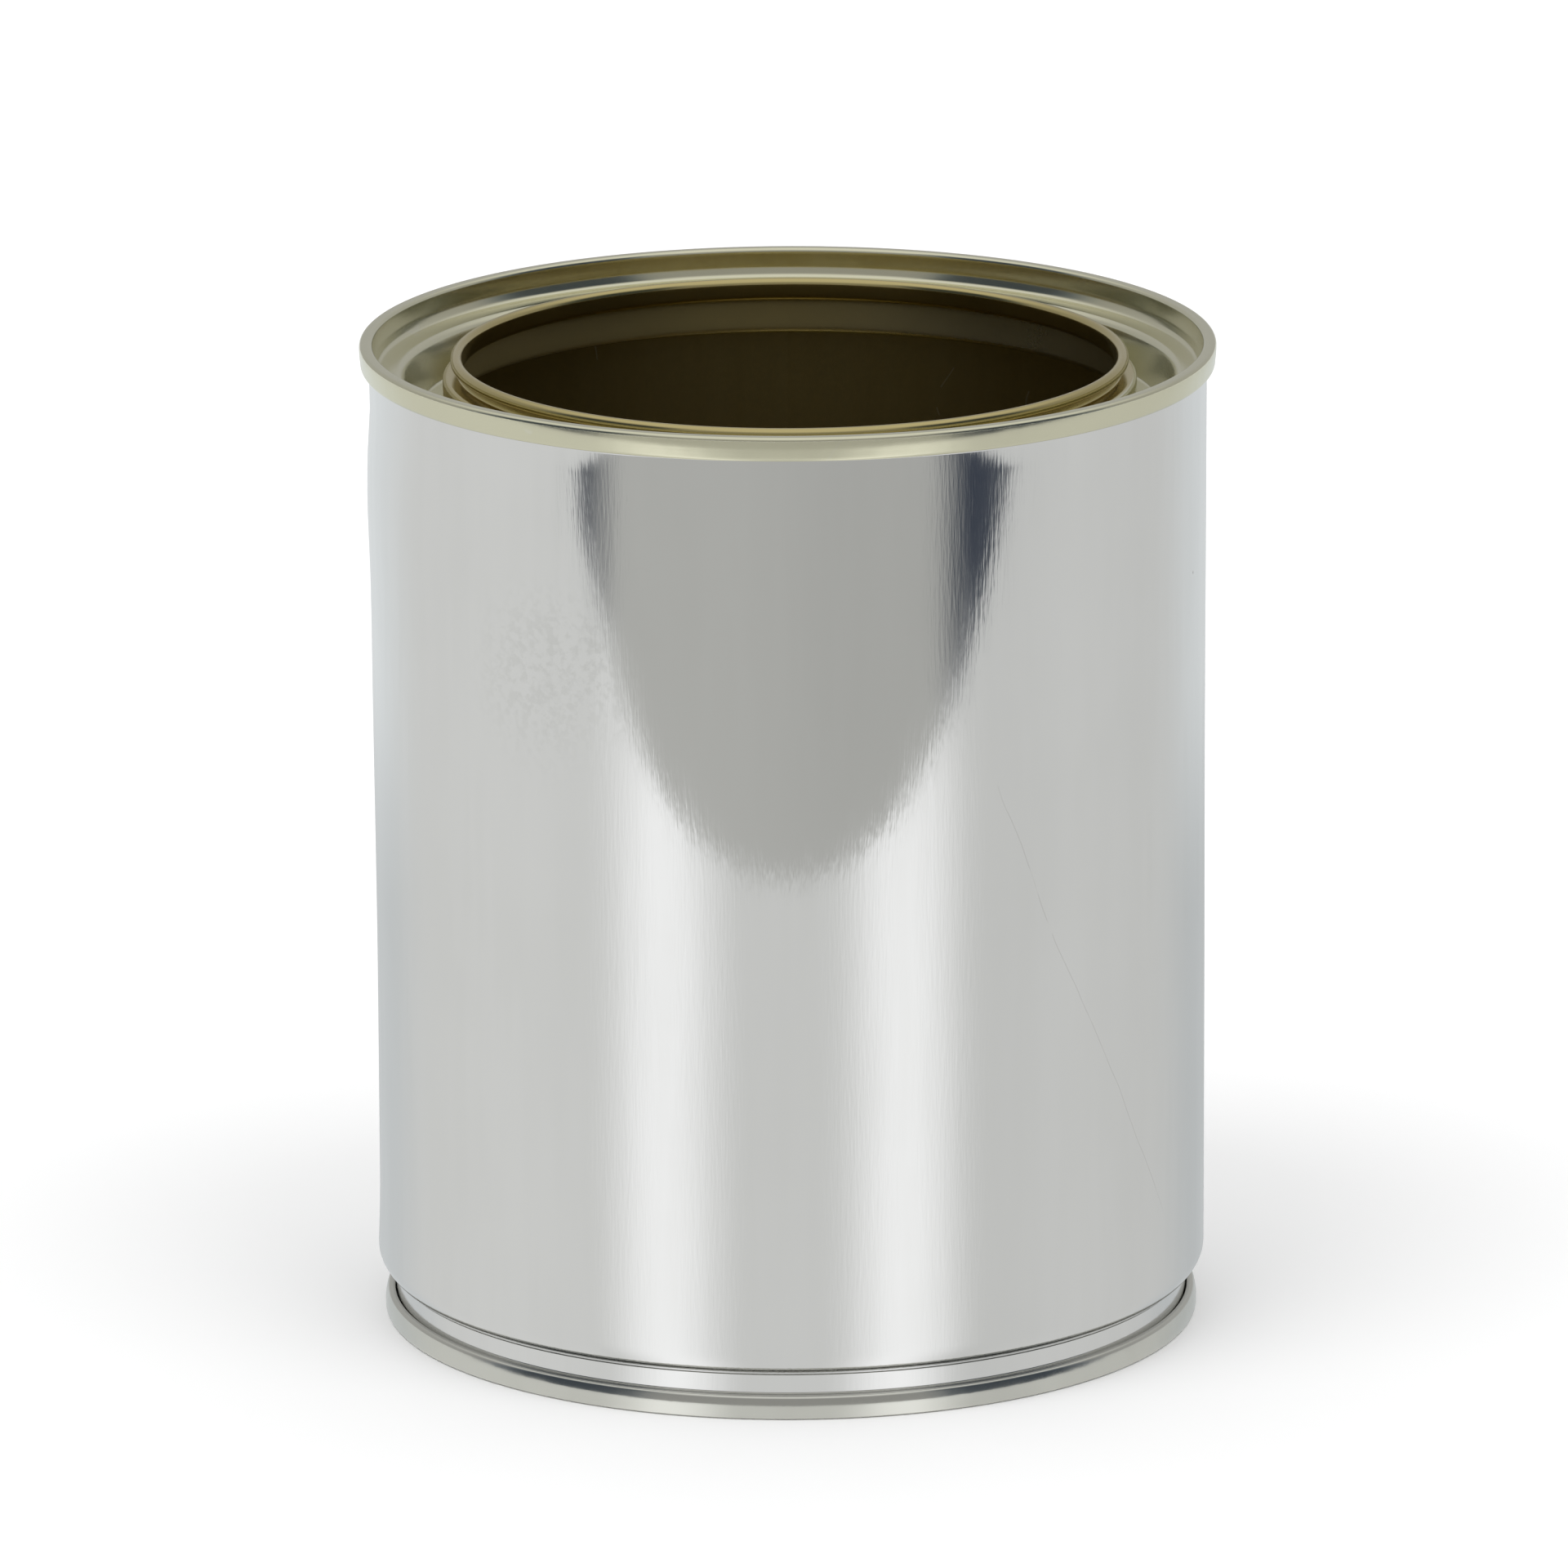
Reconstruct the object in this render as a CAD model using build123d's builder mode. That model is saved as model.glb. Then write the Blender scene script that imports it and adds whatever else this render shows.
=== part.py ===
"""Open lever-lid paint can in tinplate: necked-in body, recessed top ring, bottom end.

Millimetres, +Z up, origin at the centre of the circle the can stands on.
Every profile is the (radius, height) section of one sheet. It is drawn along one face of
the sheet, given the sheet's thickness, and turned about the can's axis.
"""
import os

from build123d import *

# Sheets
body_sheet = 0.24
end_sheet = 0.28
hook_gap = 0.09            # free play between the hooked layers of a double seam
chuck_gap = 0.04           # free play between the chuck wall and the side wall

# Whole can
can_height = 119.0
body_radius = 49.7         # outside of the side wall, for a 99 mm can
top_seam_radius = 50.84
bottom_seam_radius = 48.84
seam_height = 2.9
seam_edge_radius = 0.45    # rounding of a seam's two free edges
fold_radius = 0.48         # rounding where a seam's hook turns back

# Layers of a double seam, measured inwards from its outer face
body_hook_depth = end_sheet + hook_gap + body_sheet
cover_hook_depth = body_hook_depth + hook_gap
body_wall_depth = cover_hook_depth + end_sheet + hook_gap
chuck_wall_depth = body_wall_depth + body_sheet + chuck_gap
hook_end_gap = 0.14        # from a hook's tip to the fold it points into
compound_gap = 0.29        # room for the sealing compound over the body's fold
compound_width = 0.40
compound_height = 0.23

# Necked-in foot of the body and the flare under the top seam
neck_radius = bottom_seam_radius - body_wall_depth
neck_crease_height = 5.2
neck_crease_radius = 0.4
shoulder_height = 6.4
shoulder_radius = 3.4
flare_bottom = 115.9
flare_top = 116.5
flare_radius = 1.5
weld_width = 0.8
weld_rise = 0.08

# Top ring, on the side that faces the paint
mouth_radius = 38.8
curl_radius = 0.72
curl_top = 117.5
curl_gap = 0.08            # between the curl's rim and the collar
collar_bottom = 114.75
neck_wall_radius = 40.92
groove_floor = 110.24
groove_outer_radius = 44.40
ledge_height = 115.14
ledge_inner_radius = 45.98
ledge_outer_radius = 49.05
chuck_bend_height = 116.6

# Bottom end, on the side that faces the paint
panel_height = 4.1
panel_radius = 47.35
bottom_chuck_bend = 2.2
bead_radii = (16.0, 32.0)
bead_half_width = 2.2
bead_flank = 1.0
bead_depth = 0.7
bead_rounding = 0.6

# Side wall: hook, fold, neck, shoulder, long cylinder, flare, fold, hook
fold_inner_radius = (end_sheet + 2 * hook_gap) / 2 - 0.01
bottom_hook_radius = bottom_seam_radius - body_hook_depth
bottom_fold_height = end_sheet + compound_gap + body_sheet
bottom_hook_tip = seam_height - end_sheet - hook_end_gap
top_wall_radius = top_seam_radius - body_wall_depth
top_hook_radius = top_seam_radius - body_hook_depth
top_fold_height = can_height - end_sheet - compound_gap - body_sheet
top_hook_tip = can_height - seam_height + end_sheet + hook_end_gap
body_corners = [
    (bottom_hook_radius, bottom_hook_tip),
    (bottom_hook_radius, bottom_fold_height),
    (neck_radius, bottom_fold_height),
    (neck_radius, neck_crease_height),
    (body_radius, shoulder_height),
    (body_radius, flare_bottom),
    (top_wall_radius, flare_top),
    (top_wall_radius, top_fold_height),
    (top_hook_radius, top_fold_height),
    (top_hook_radius, top_hook_tip),
]
body_roundings = [
    fold_inner_radius,
    fold_inner_radius,
    neck_crease_radius,
    shoulder_radius,
    flare_radius,
    flare_radius,
    fold_inner_radius,
    fold_inner_radius,
]

with BuildPart() as can_body:
    with BuildSketch(Plane.XZ):
        with BuildLine():
            FilletPolyline(*body_corners, radius=body_roundings)
            offset(amount=body_sheet, side=Side.LEFT)
        make_face()
    revolve(axis=Axis.Z)
    # Welded side seam: a narrow strip of double sheet down the back of the can
    with BuildSketch(Plane.XY.offset(shoulder_height + shoulder_radius)):
        with Locations((0, body_radius + (weld_rise - body_sheet) / 2)):
            Rectangle(weld_width, body_sheet + weld_rise)
    extrude(amount=flare_bottom - shoulder_height - shoulder_radius)
can_body.part.label = "can_body"

# Top ring: curl, collar, stepped neck, groove, ledge, chuck wall, seam, hook
ring_chuck_radius = top_seam_radius - chuck_wall_depth
ring_seam_inner = top_seam_radius - end_sheet
ring_hook_radius = top_seam_radius - cover_hook_depth
ring_hook_tip = top_fold_height - hook_end_gap
curl_outer_radius = mouth_radius + 2 * curl_radius
curl_bottom = curl_top - 2 * curl_radius
ring_fold_height = can_height - seam_height + end_sheet
ring_corners = [
    (mouth_radius + end_sheet + curl_gap, curl_bottom),
    (curl_outer_radius, curl_bottom),
    (curl_outer_radius, curl_top),
    (mouth_radius, curl_top),
    (mouth_radius, collar_bottom),
    (neck_wall_radius, collar_bottom),
    (neck_wall_radius, groove_floor),
    (groove_outer_radius, groove_floor),
    (ledge_inner_radius, ledge_height),
    (ledge_outer_radius, ledge_height),
    (ring_chuck_radius, chuck_bend_height),
    (ring_chuck_radius, can_height - end_sheet),
    (ring_seam_inner, can_height - end_sheet),
    (ring_seam_inner, ring_fold_height),
    (ring_hook_radius, ring_fold_height),
    (ring_hook_radius, ring_hook_tip),
]
curl_rounding = curl_radius - 0.02
seam_edge_inner = seam_edge_radius - end_sheet
fold_inner = fold_radius - end_sheet
ring_roundings = [
    curl_rounding,
    curl_rounding,
    curl_rounding,
    0.70,
    0.35,
    0.90,
    0.76,
    0.75,
    1.06,
    2.0,
    seam_edge_inner,
    seam_edge_inner,
    fold_inner,
    fold_inner,
]

with BuildPart() as top_ring:
    with BuildSketch(Plane.XZ):
        with BuildLine():
            FilletPolyline(*ring_corners, radius=ring_roundings)
            offset(amount=end_sheet, side=Side.LEFT)
        make_face()
    revolve(axis=Axis.Z)
top_ring.part.label = "top_ring"

# Bottom end: beaded panel, chuck wall, seam, hook
bottom_chuck_radius = bottom_seam_radius - chuck_wall_depth
bottom_seam_inner = bottom_seam_radius - end_sheet
end_hook_radius = bottom_seam_radius - cover_hook_depth
end_hook_tip = bottom_fold_height + hook_end_gap
bead_corners = []
bead_roundings = []
for bead_radius in bead_radii:
    bead_corners += [
        (bead_radius - bead_half_width, panel_height),
        (bead_radius - bead_half_width + bead_flank, panel_height - bead_depth),
        (bead_radius + bead_half_width - bead_flank, panel_height - bead_depth),
        (bead_radius + bead_half_width, panel_height),
    ]
    bead_roundings += [bead_rounding] * 4
end_corners = [
    (0, panel_height),
    *bead_corners,
    (panel_radius, panel_height),
    (bottom_chuck_radius, bottom_chuck_bend),
    (bottom_chuck_radius, end_sheet),
    (bottom_seam_inner, end_sheet),
    (bottom_seam_inner, seam_height - end_sheet),
    (end_hook_radius, seam_height - end_sheet),
    (end_hook_radius, end_hook_tip),
]
end_roundings = [
    *bead_roundings,
    1.0,
    2.0,
    seam_edge_inner,
    seam_edge_inner,
    fold_inner,
    fold_inner,
]

with BuildPart() as bottom_end:
    with BuildSketch(Plane.XZ):
        with BuildLine():
            FilletPolyline(*end_corners, radius=end_roundings)
            offset(amount=end_sheet, side=Side.RIGHT)
        make_face()
    revolve(axis=Axis.Z)
bottom_end.part.label = "bottom_end"

# Sealing compound: a thin soft ring between each end and the body's fold
top_compound_height = can_height - end_sheet - compound_gap / 2
bottom_compound_height = end_sheet + compound_gap / 2

with BuildPart() as top_seam_compound:
    with BuildSketch(Plane.XZ):
        with Locations((top_wall_radius + compound_width / 2, top_compound_height)):
            Rectangle(compound_width, compound_height)
    revolve(axis=Axis.Z)
top_seam_compound.part.label = "top_seam_compound"

with BuildPart() as bottom_seam_compound:
    with BuildSketch(Plane.XZ):
        with Locations((neck_radius + compound_width / 2, bottom_compound_height)):
            Rectangle(compound_width, compound_height)
    revolve(axis=Axis.Z)
bottom_seam_compound.part.label = "bottom_seam_compound"

os.makedirs("parts", exist_ok=True)
for piece in (can_body, top_ring, bottom_end, top_seam_compound, bottom_seam_compound):
    export_step(piece.part, f"parts/{piece.part.label}.step")
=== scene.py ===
"""Looks of an open lever-lid paint can in tinplate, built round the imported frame.

Every sheet of the can is a rounded profile in (radius, height), given its thickness and turned
about the can's axis. Lengths in the profiles are millimetres; meshes are in metres.
"""

import logging
import math
from dataclasses import dataclass
from enum import Enum

import bmesh
import bpy
import numpy as np
from mathutils import Matrix, Vector


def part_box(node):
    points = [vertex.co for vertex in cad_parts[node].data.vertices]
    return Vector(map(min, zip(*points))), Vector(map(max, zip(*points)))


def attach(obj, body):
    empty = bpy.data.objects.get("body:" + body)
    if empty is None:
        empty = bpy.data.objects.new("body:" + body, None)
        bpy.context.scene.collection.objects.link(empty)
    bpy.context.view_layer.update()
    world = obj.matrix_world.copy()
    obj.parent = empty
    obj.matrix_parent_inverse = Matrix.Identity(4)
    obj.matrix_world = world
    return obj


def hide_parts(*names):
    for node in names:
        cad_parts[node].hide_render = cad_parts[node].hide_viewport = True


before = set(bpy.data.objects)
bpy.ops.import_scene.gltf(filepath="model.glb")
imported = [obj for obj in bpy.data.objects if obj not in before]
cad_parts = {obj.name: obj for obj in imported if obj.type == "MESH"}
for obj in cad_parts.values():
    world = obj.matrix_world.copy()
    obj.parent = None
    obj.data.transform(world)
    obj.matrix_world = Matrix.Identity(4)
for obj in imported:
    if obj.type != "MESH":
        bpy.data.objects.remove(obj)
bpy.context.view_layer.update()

LOG = logging.getLogger("paint_can")
MM = 0.001
BODY_RADIUS = 49.7
BODY = "root"

Array = np.ndarray
Material = bpy.types.Material
Object = bpy.types.Object
Colour = tuple[float, float, float, float]
Span = tuple[float, float]


class Side(Enum):
    """The side of a profile, seen along its direction, on which a sheet's thickness lies."""

    LEFT = 1.0
    RIGHT = -1.0


class Face(Enum):
    """The material slot of a sheet's two faces."""

    OUTSIDE = 0
    INSIDE = 1


# Profiles and surfaces


def smooth(low: float, high: float, value: Array) -> Array:
    """Smooth step: 3t^2 - 2t^3 with t the place of value between low and high, held to 0..1."""
    t = np.clip((value - low) / (high - low), 0.0, 1.0)
    return t * t * (3.0 - 2.0 * t)


def bell(centre: float, width: float, value: Array) -> Array:
    """Gaussian bump exp(-((value - centre) / width)^2)."""
    return np.exp(-(((value - centre) / width) ** 2))


def turned_points(radius: Array, angle: Array, height: Array) -> Array:
    """Points turned about the axis: x = r sin(angle), y = -r cos(angle), z = height."""
    return np.stack([radius * np.sin(angle), -radius * np.cos(angle), height], axis=-1)


def grid_quads(rows: int, columns: int, closed: bool) -> Array:
    """Quads of a grid of points whose rows are rings.

    Args:
        rows: How many rings there are.
        columns: How many points each ring has.
        closed: Whether the last ring is joined to the first.

    Returns:
        One row of four point numbers for each quad, ring by ring.
    """
    row, column = np.meshgrid(
        np.arange(rows if closed else rows - 1), np.arange(columns), indexing="ij"
    )
    here, below = row * columns, (row + 1) % rows * columns
    beside = (column + 1) % columns
    corners = [here + column, here + beside, below + beside, below + column]
    return np.stack(corners, axis=-1).reshape(-1, 4)


def linked_mesh(name: str, points: Array, faces: Array) -> Object:
    """Puts points and faces into a new mesh object of the scene."""
    mesh = bpy.data.meshes.new(name)
    mesh.from_pydata(points.tolist(), [], faces.tolist())
    thing = bpy.data.objects.new(name, mesh)
    bpy.context.collection.objects.link(thing)
    return thing


@dataclass(frozen=True)
class Profile:
    """A path of straight runs with rounded corners, in (radius, height) millimetres.

    Attributes:
        corners: The corner points, from one end of the sheet to the other.
        radii: The rounding of each inner corner.
        run_step: The longest stretch left between two points of a straight run.
        layer_step: The same in a layer of a seam.
        layer_length: The height under which an upright run is a layer of a seam.
        arc_step: The turn between two points of a rounding, in degrees.
    """

    corners: tuple[Span, ...]
    radii: tuple[float, ...]
    run_step: float = 3.0
    layer_step: float = 0.5
    layer_length: float = 6.0
    arc_step: float = 11.0

    def sampled(self) -> tuple[Array, Array]:
        """Samples the path.

        A corner of radius R between unit directions a and b, which turns by w, starts its arc
        R tan(w/2) before the corner. The arc's points are its centre plus R times the start
        normal turned by 0..w. Straight runs are divided evenly.

        Returns:
            The points and, at each, the unit normal on the left of the path.
        """
        corners = np.array(self.corners, float)
        steps = np.diff(corners, axis=0)
        directions = steps / np.linalg.norm(steps, axis=1)[:, None]
        lefts = np.stack([-directions[:, 1], directions[:, 0]], axis=1)
        points = [corners[:1]]
        normals = [lefts[:1]]
        for index, radius in enumerate(self.radii):
            before, after = directions[index], directions[index + 1]
            cross = before[0] * after[1] - before[1] * after[0]
            turn = math.atan2(cross, float(before @ after))
            bend = math.copysign(1.0, turn)
            start = corners[index + 1] - before * radius * math.tan(abs(turn) / 2)
            centre = start + lefts[index] * radius * bend
            count = max(2, math.ceil(abs(math.degrees(turn)) / self.arc_step) + 1)
            angles = np.linspace(0.0, turn, count)
            cos, sin = np.cos(angles), np.sin(angles)
            left = lefts[index]
            turned = cos[:, None] * left + sin[:, None] * np.array([-left[1], left[0]])
            self._run(points, normals, start, left)
            points.append(centre - turned * radius * bend)
            normals.append(turned)
        self._run(points, normals, corners[-1], lefts[-1])
        points.append(corners[-1:])
        normals.append(lefts[-1:])
        return np.concatenate(points), np.concatenate(normals)

    def _run(self, points: list, normals: list, end: Array, left: Array) -> None:
        """Adds the inner points of the straight run from the last point to end.

        A short upright run is a layer of a seam, and is divided more finely so that it can lean.
        """
        start = points[-1][-1]
        length = float(np.linalg.norm(end - start))
        layer = abs(left[0]) > 0.9 and length < self.layer_length
        count = math.ceil(length / (self.layer_step if layer else self.run_step))
        if count > 1:
            shares = np.linspace(0.0, 1.0, count + 1)[1:-1, None]
            points.append(start + (end - start) * shares)
            normals.append(np.repeat(left[None], count - 1, axis=0))

    def sheet(self, thickness: float, side: Side) -> tuple[Array, int]:
        """Gives the path a thickness.

        Args:
            thickness: The sheet's thickness in millimetres.
            side: The side of the path on which the thickness lies.

        Returns:
            The closed outline, path first and then the far face backwards, and the number of
            points on the path itself.
        """
        points, normals = self.sampled()
        far = points + normals * thickness * side.value
        return np.concatenate([points, far[::-1]]), len(points)


@dataclass(frozen=True)
class Handling:
    """What filling, stacking and handling have done to the can, as radial shifts.

    The shift depends on bearing and height alone and is smooth, so the layers of a seam move
    together. The bearing is 0 at the front and grows towards the right.

    Attributes:
        bulge: Outward swelling on the left side, just under the top seam.
        hollow: Inward set of the left side lower down.
        ripple: Height of the roller marks round the seams.
        taper: Inward lean of the bottom seam at its fold.
        top_taper: The same of the top seam.
        pinch: Inward set of the left side just over its bulge.
        slack: Inward set of the right side at mid height.
        left: Bearing of the middle of the left side's marks, and their width, in degrees.
        right: The same on the right side.
    """

    bulge: float = 0.34
    hollow: float = 0.30
    ripple: float = 0.020
    taper: float = 0.25
    top_taper: float = 0.16
    pinch: float = 0.16
    slack: float = 0.07
    left: Span = (-92.0, 38.0)
    right: Span = (97.0, 30.0)

    def shift(self, bearing: Array, height: Array) -> Array:
        """Radial shift in millimetres, a sum of bells in bearing times bells in height.

        The bottom seam also leans inwards towards its fold, and the neck leads back out.
        """
        left = bell(*self.left, bearing)
        swelling = self.bulge * bell(101.0, 8.5, height) - self.pinch * bell(111.0, 3.0, height)
        sunk = self.hollow * smooth(88.0, 40.0, height) * smooth(4.0, 16.0, height)
        right = bell(*self.right, bearing)
        slack = -self.slack * bell(72.0, 22.0, height)
        lean = -self.taper * smooth(1.3, 2.9, height) * smooth(8.0, 5.2, height)
        return left * (swelling - sunk) + right * slack + lean

    def lean(self, radius: Array, height: Array) -> Array:
        """Radial shift of the top seam's outer layers, which lean inwards towards the fold.

        It is a product of smooth steps, from nothing at the side wall to all of it at the
        outer face, and from nothing near the top to all of it at the fold.
        """
        return -self.top_taper * smooth(49.9, 50.5, radius) * smooth(118.2, 116.3, height)

    def roller_marks(self, bearing: Array, seed: int) -> Array:
        """Shallow marks of the seaming rollers: twelve sines of the bearing, random in phase."""
        draw = np.random.default_rng(seed)
        waves = draw.integers(7, 95, 12)
        phases = draw.uniform(0.0, 2.0 * np.pi, 12)
        turns = np.radians(bearing)[..., None] * waves + phases
        return self.ripple * np.sin(turns).mean(axis=-1) * 2.0


HANDLING = Handling()


@dataclass
class TurnedSheet:
    """One sheet of the can, turned about the axis.

    Attributes:
        name: The piece's name.
        node: The CAD node it stands for.
        slot: The record's material slot; not used.
        profile: The sheet's path.
        thickness: The sheet's thickness in millimetres.
        side: The side of the path on which the thickness lies.
        finishes: The materials of the path's own face and of the far face.
        columns: How many steps the turn takes.
    """

    name: str
    node: str
    slot: str
    profile: Profile
    thickness: float
    side: Side
    finishes: tuple[Material, Material]
    columns: int = 384

    def bearings(self) -> Array:
        """Bearings of the grid's columns in degrees, from -180 at the back round to 180."""
        return np.linspace(-180.0, 180.0, self.columns, endpoint=False)

    def radial(self, radius: Array, height: Array, bearing: Array, near: int) -> Array:
        """Radius of every grid point after handling; near is the number of rows on the path."""
        worn = radius + HANDLING.shift(bearing, height) + HANDLING.lean(radius, height)
        return np.where(radius < 1e-6, 0.0, worn)

    def build(self) -> Object:
        """Makes the mesh: row i, column j is outline point i turned to bearing j.

        Returns:
            The piece, riding on the body and standing for its node.
        """
        outline, near = self.profile.sheet(self.thickness, self.side)
        bearing = self.bearings()[None, :]
        height = np.repeat(outline[:, 1:2], bearing.shape[1], axis=1)
        radius = self.radial(outline[:, 0:1] + 0.0 * bearing, height, bearing + 0.0 * height, near)
        grid = turned_points(radius, np.radians(bearing), height) * MM
        rows, columns = grid.shape[:2]
        quads = grid_quads(rows, columns, closed=True)
        if self._area(outline) < 0.0:
            quads = quads[:, ::-1]
        row = np.repeat(np.arange(rows), columns)
        face = np.where(row < near - 1, Face.OUTSIDE.value, Face.INSIDE.value)
        piece = solid_mesh(self.name, grid.reshape(-1, 3), quads, face, self.finishes)
        return registered(piece, self.node)

    @staticmethod
    def _area(outline: Array) -> float:
        """Signed area of the outline (shoelace formula), which says which way it runs."""
        x, y = outline[:, 0], outline[:, 1]
        return float(np.sum(x * np.roll(y, -1) - y * np.roll(x, -1)))


def solid_mesh(
    name: str,
    points: Array,
    quads: Array,
    face: Array,
    finishes: tuple[Material, ...],
) -> Object:
    """Makes a smooth-shaded mesh object of several finishes.

    Args:
        name: The object's name.
        points: One row of x, y, z for each vertex, in metres.
        quads: One row of four vertex numbers for each face.
        face: The material slot of each face.
        finishes: The materials, in slot order.

    Returns:
        The object, linked into the scene.
    """
    piece = linked_mesh(name, points, quads)
    mesh = piece.data
    for finish in finishes:
        mesh.materials.append(finish)
    mesh.polygons.foreach_set("material_index", face.astype(np.int32))
    mesh.polygons.foreach_set("use_smooth", np.ones(len(quads), bool))
    mesh.update()
    mesh.validate()
    return piece


def registered(piece: Object, node: str) -> Object:
    """Closes poles, keeps cut edges sharp, ties the piece to its body and hides the node it stands
    for.
    """
    shape = bmesh.new()
    shape.from_mesh(piece.data)
    bmesh.ops.remove_doubles(shape, verts=shape.verts, dist=1e-7)
    shape.to_mesh(piece.data)
    shape.free()
    piece.data.set_sharp_from_angle(angle=math.radians(40.0))
    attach(piece, BODY)
    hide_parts(node)
    LOG.info("%s: %d faces, stands for %s", piece.name, len(piece.data.polygons), node)
    return piece


# Shader building blocks

Node = bpy.types.Node
Tree = bpy.types.NodeTree
Socket = bpy.types.NodeSocket
Value = float | Socket


def by_name(sockets: object) -> dict[str, Socket]:
    """A node's inputs or outputs by their names."""
    return {socket.name: socket for socket in sockets}


class Wiring:
    """A node tree in the making, with one short method for each kind of node it needs."""

    def __init__(self, tree: Tree) -> None:
        """Starts on an empty tree."""
        self.tree = tree

    def add(self, kind: str, **settings: object) -> Node:
        """Adds a node and sets its properties."""
        node = self.tree.nodes.new(kind)
        for key, value in settings.items():
            setattr(node, key, value)
        return node

    def feed(self, socket: Socket, value: object) -> None:
        """Links a socket to the input, or sets the input's own value."""
        if isinstance(value, Socket):
            self.tree.links.new(value, socket)
        else:
            socket.default_value = value

    def point(self) -> Socket:
        """Object coordinates."""
        return self.add("ShaderNodeTexCoord").outputs["Object"]

    def maths(self, operation: str, *values: Value) -> Socket:
        """A Math node."""
        node = self.add("ShaderNodeMath", operation=operation)
        for socket, value in zip(node.inputs, values):
            self.feed(socket, value)
        return node.outputs[0]

    def times(self, first: Value, second: Value) -> Socket:
        """The product of two values."""
        return self.maths("MULTIPLY", first, second)

    def plus(self, first: Value, second: Value) -> Socket:
        """The sum of two values."""
        return self.maths("ADD", first, second)

    def minus(self, first: Value, second: Value) -> Socket:
        """The first value less the second."""
        return self.maths("SUBTRACT", first, second)

    def linear(self, value: Value, slope: Value, start: Value) -> Socket:
        """The value times a slope, plus a start."""
        return self.maths("MULTIPLY_ADD", value, slope, start)

    def summed(self, start: Value, *parts: tuple[Value, float]) -> Value:
        """A start plus the product of each part's mask and share."""
        for mask, share in parts:
            start = self.linear(mask, share, start)
        return start

    def length(self, first: Value, second: Value) -> Socket:
        """The root of the sum of two values' squares."""
        return self.maths("SQRT", self.plus(self.times(first, first), self.times(second, second)))

    def bearing(self, x: Value, y: Value) -> Socket:
        """Bearing of a direction in radians, atan2(x, -y), which is 0 at the front."""
        return self.maths("ARCTAN2", x, self.times(y, -1.0))

    def ramp(
        self, value: Value, low: Value, high: Value, start: float = 0.0, end: float = 1.0
    ) -> Socket:
        """A smooth step of value from low..high to start..end."""
        node = self.add("ShaderNodeMapRange", interpolation_type="SMOOTHSTEP")
        for socket, item in zip(node.inputs, (value, low, high, start, end)):
            self.feed(socket, item)
        return node.outputs[0]

    def blend(self, share: Value, first: object, second: object) -> Socket:
        """A colour Mix node."""
        node = self.add("ShaderNodeMix", data_type="RGBA")
        self.feed(node.inputs[0], share)
        self.feed(node.inputs[6], first)
        self.feed(node.inputs[7], second)
        return node.outputs[2]

    def split(self, vector: Socket) -> tuple[Socket, Socket, Socket]:
        """The three parts of a vector."""
        node = self.add("ShaderNodeSeparateXYZ")
        self.feed(node.inputs[0], vector)
        return node.outputs[0], node.outputs[1], node.outputs[2]

    def joined(self, x: Value, y: Value, z: Value) -> Socket:
        """A vector from its three parts."""
        node = self.add("ShaderNodeCombineXYZ")
        for socket, value in zip(node.inputs, (x, y, z)):
            self.feed(socket, value)
        return node.outputs[0]

    def scaled(self, vector: Socket, by: Value) -> Socket:
        """A vector or colour times a value."""
        node = self.add("ShaderNodeVectorMath", operation="SCALE")
        self.feed(node.inputs[0], vector)
        self.feed(node.inputs["Scale"], by)
        return node.outputs[0]

    def noise(self, vector: Socket, scale: Value, detail: float, rough: float) -> Socket:
        """A three-dimensional noise value."""
        node = self.add("ShaderNodeTexNoise", noise_dimensions="3D")
        values = {"Vector": vector, "Scale": scale, "Detail": detail, "Roughness": rough}
        for name, value in values.items():
            self.feed(node.inputs[name], value)
        return node.outputs[0]

    def cells(self, vector: Socket, scale: Value) -> tuple[Socket, Socket]:
        """Distance to the nearest point of a Voronoi pattern, and that cell's random colour."""
        node = self.add("ShaderNodeTexVoronoi", voronoi_dimensions="3D", feature="F1")
        self.feed(node.inputs["Vector"], vector)
        self.feed(node.inputs["Scale"], scale)
        return node.outputs["Distance"], node.outputs["Color"]

    def bump(self, height: Socket, depth: float, under: Socket | None = None) -> Socket:
        """A Bump node of full strength whose height of 1 is depth metres."""
        node = self.add("ShaderNodeBump")
        node.inputs["Strength"].default_value = 1.0
        node.inputs["Distance"].default_value = depth
        self.feed(node.inputs["Height"], height)
        if under is not None:
            self.feed(node.inputs["Normal"], under)
        return node.outputs[0]

    def group(self, tree: Tree, **values: object) -> dict[str, Socket]:
        """Places a node group and gives its outputs; an underscore in a key stands for a space."""
        node = self.add("ShaderNodeGroup", node_tree=tree)
        for key, value in values.items():
            self.feed(node.inputs[key.replace("_", " ")], value)
        return by_name(node.outputs)


def new_group(name: str, inputs: dict[str, float | None], outputs: tuple[str, ...]) -> tuple:
    """Starts a shader node group.

    Args:
        name: The group's name.
        inputs: Input names with their default numbers, or None for a vector.
        outputs: Output names, all of them values, except Place, which is a vector.

    Returns:
        The tree, its Wiring, and its inner sockets by name, first those that give its inputs
        and then those that take its outputs.
    """
    tree = bpy.data.node_groups.new(name, "ShaderNodeTree")
    for label, default in inputs.items():
        kind = "NodeSocketVector" if default is None else "NodeSocketFloat"
        socket = tree.interface.new_socket(label, in_out="INPUT", socket_type=kind)
        if default is not None:
            socket.default_value = default
    for label in outputs:
        kind = "NodeSocketVector" if label == "Place" else "NodeSocketFloat"
        tree.interface.new_socket(label, in_out="OUTPUT", socket_type=kind)
    wiring = Wiring(tree)
    given = wiring.add("NodeGroupInput")
    result = wiring.add("NodeGroupOutput")
    return tree, wiring, by_name(given.outputs), by_name(result.inputs)


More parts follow.
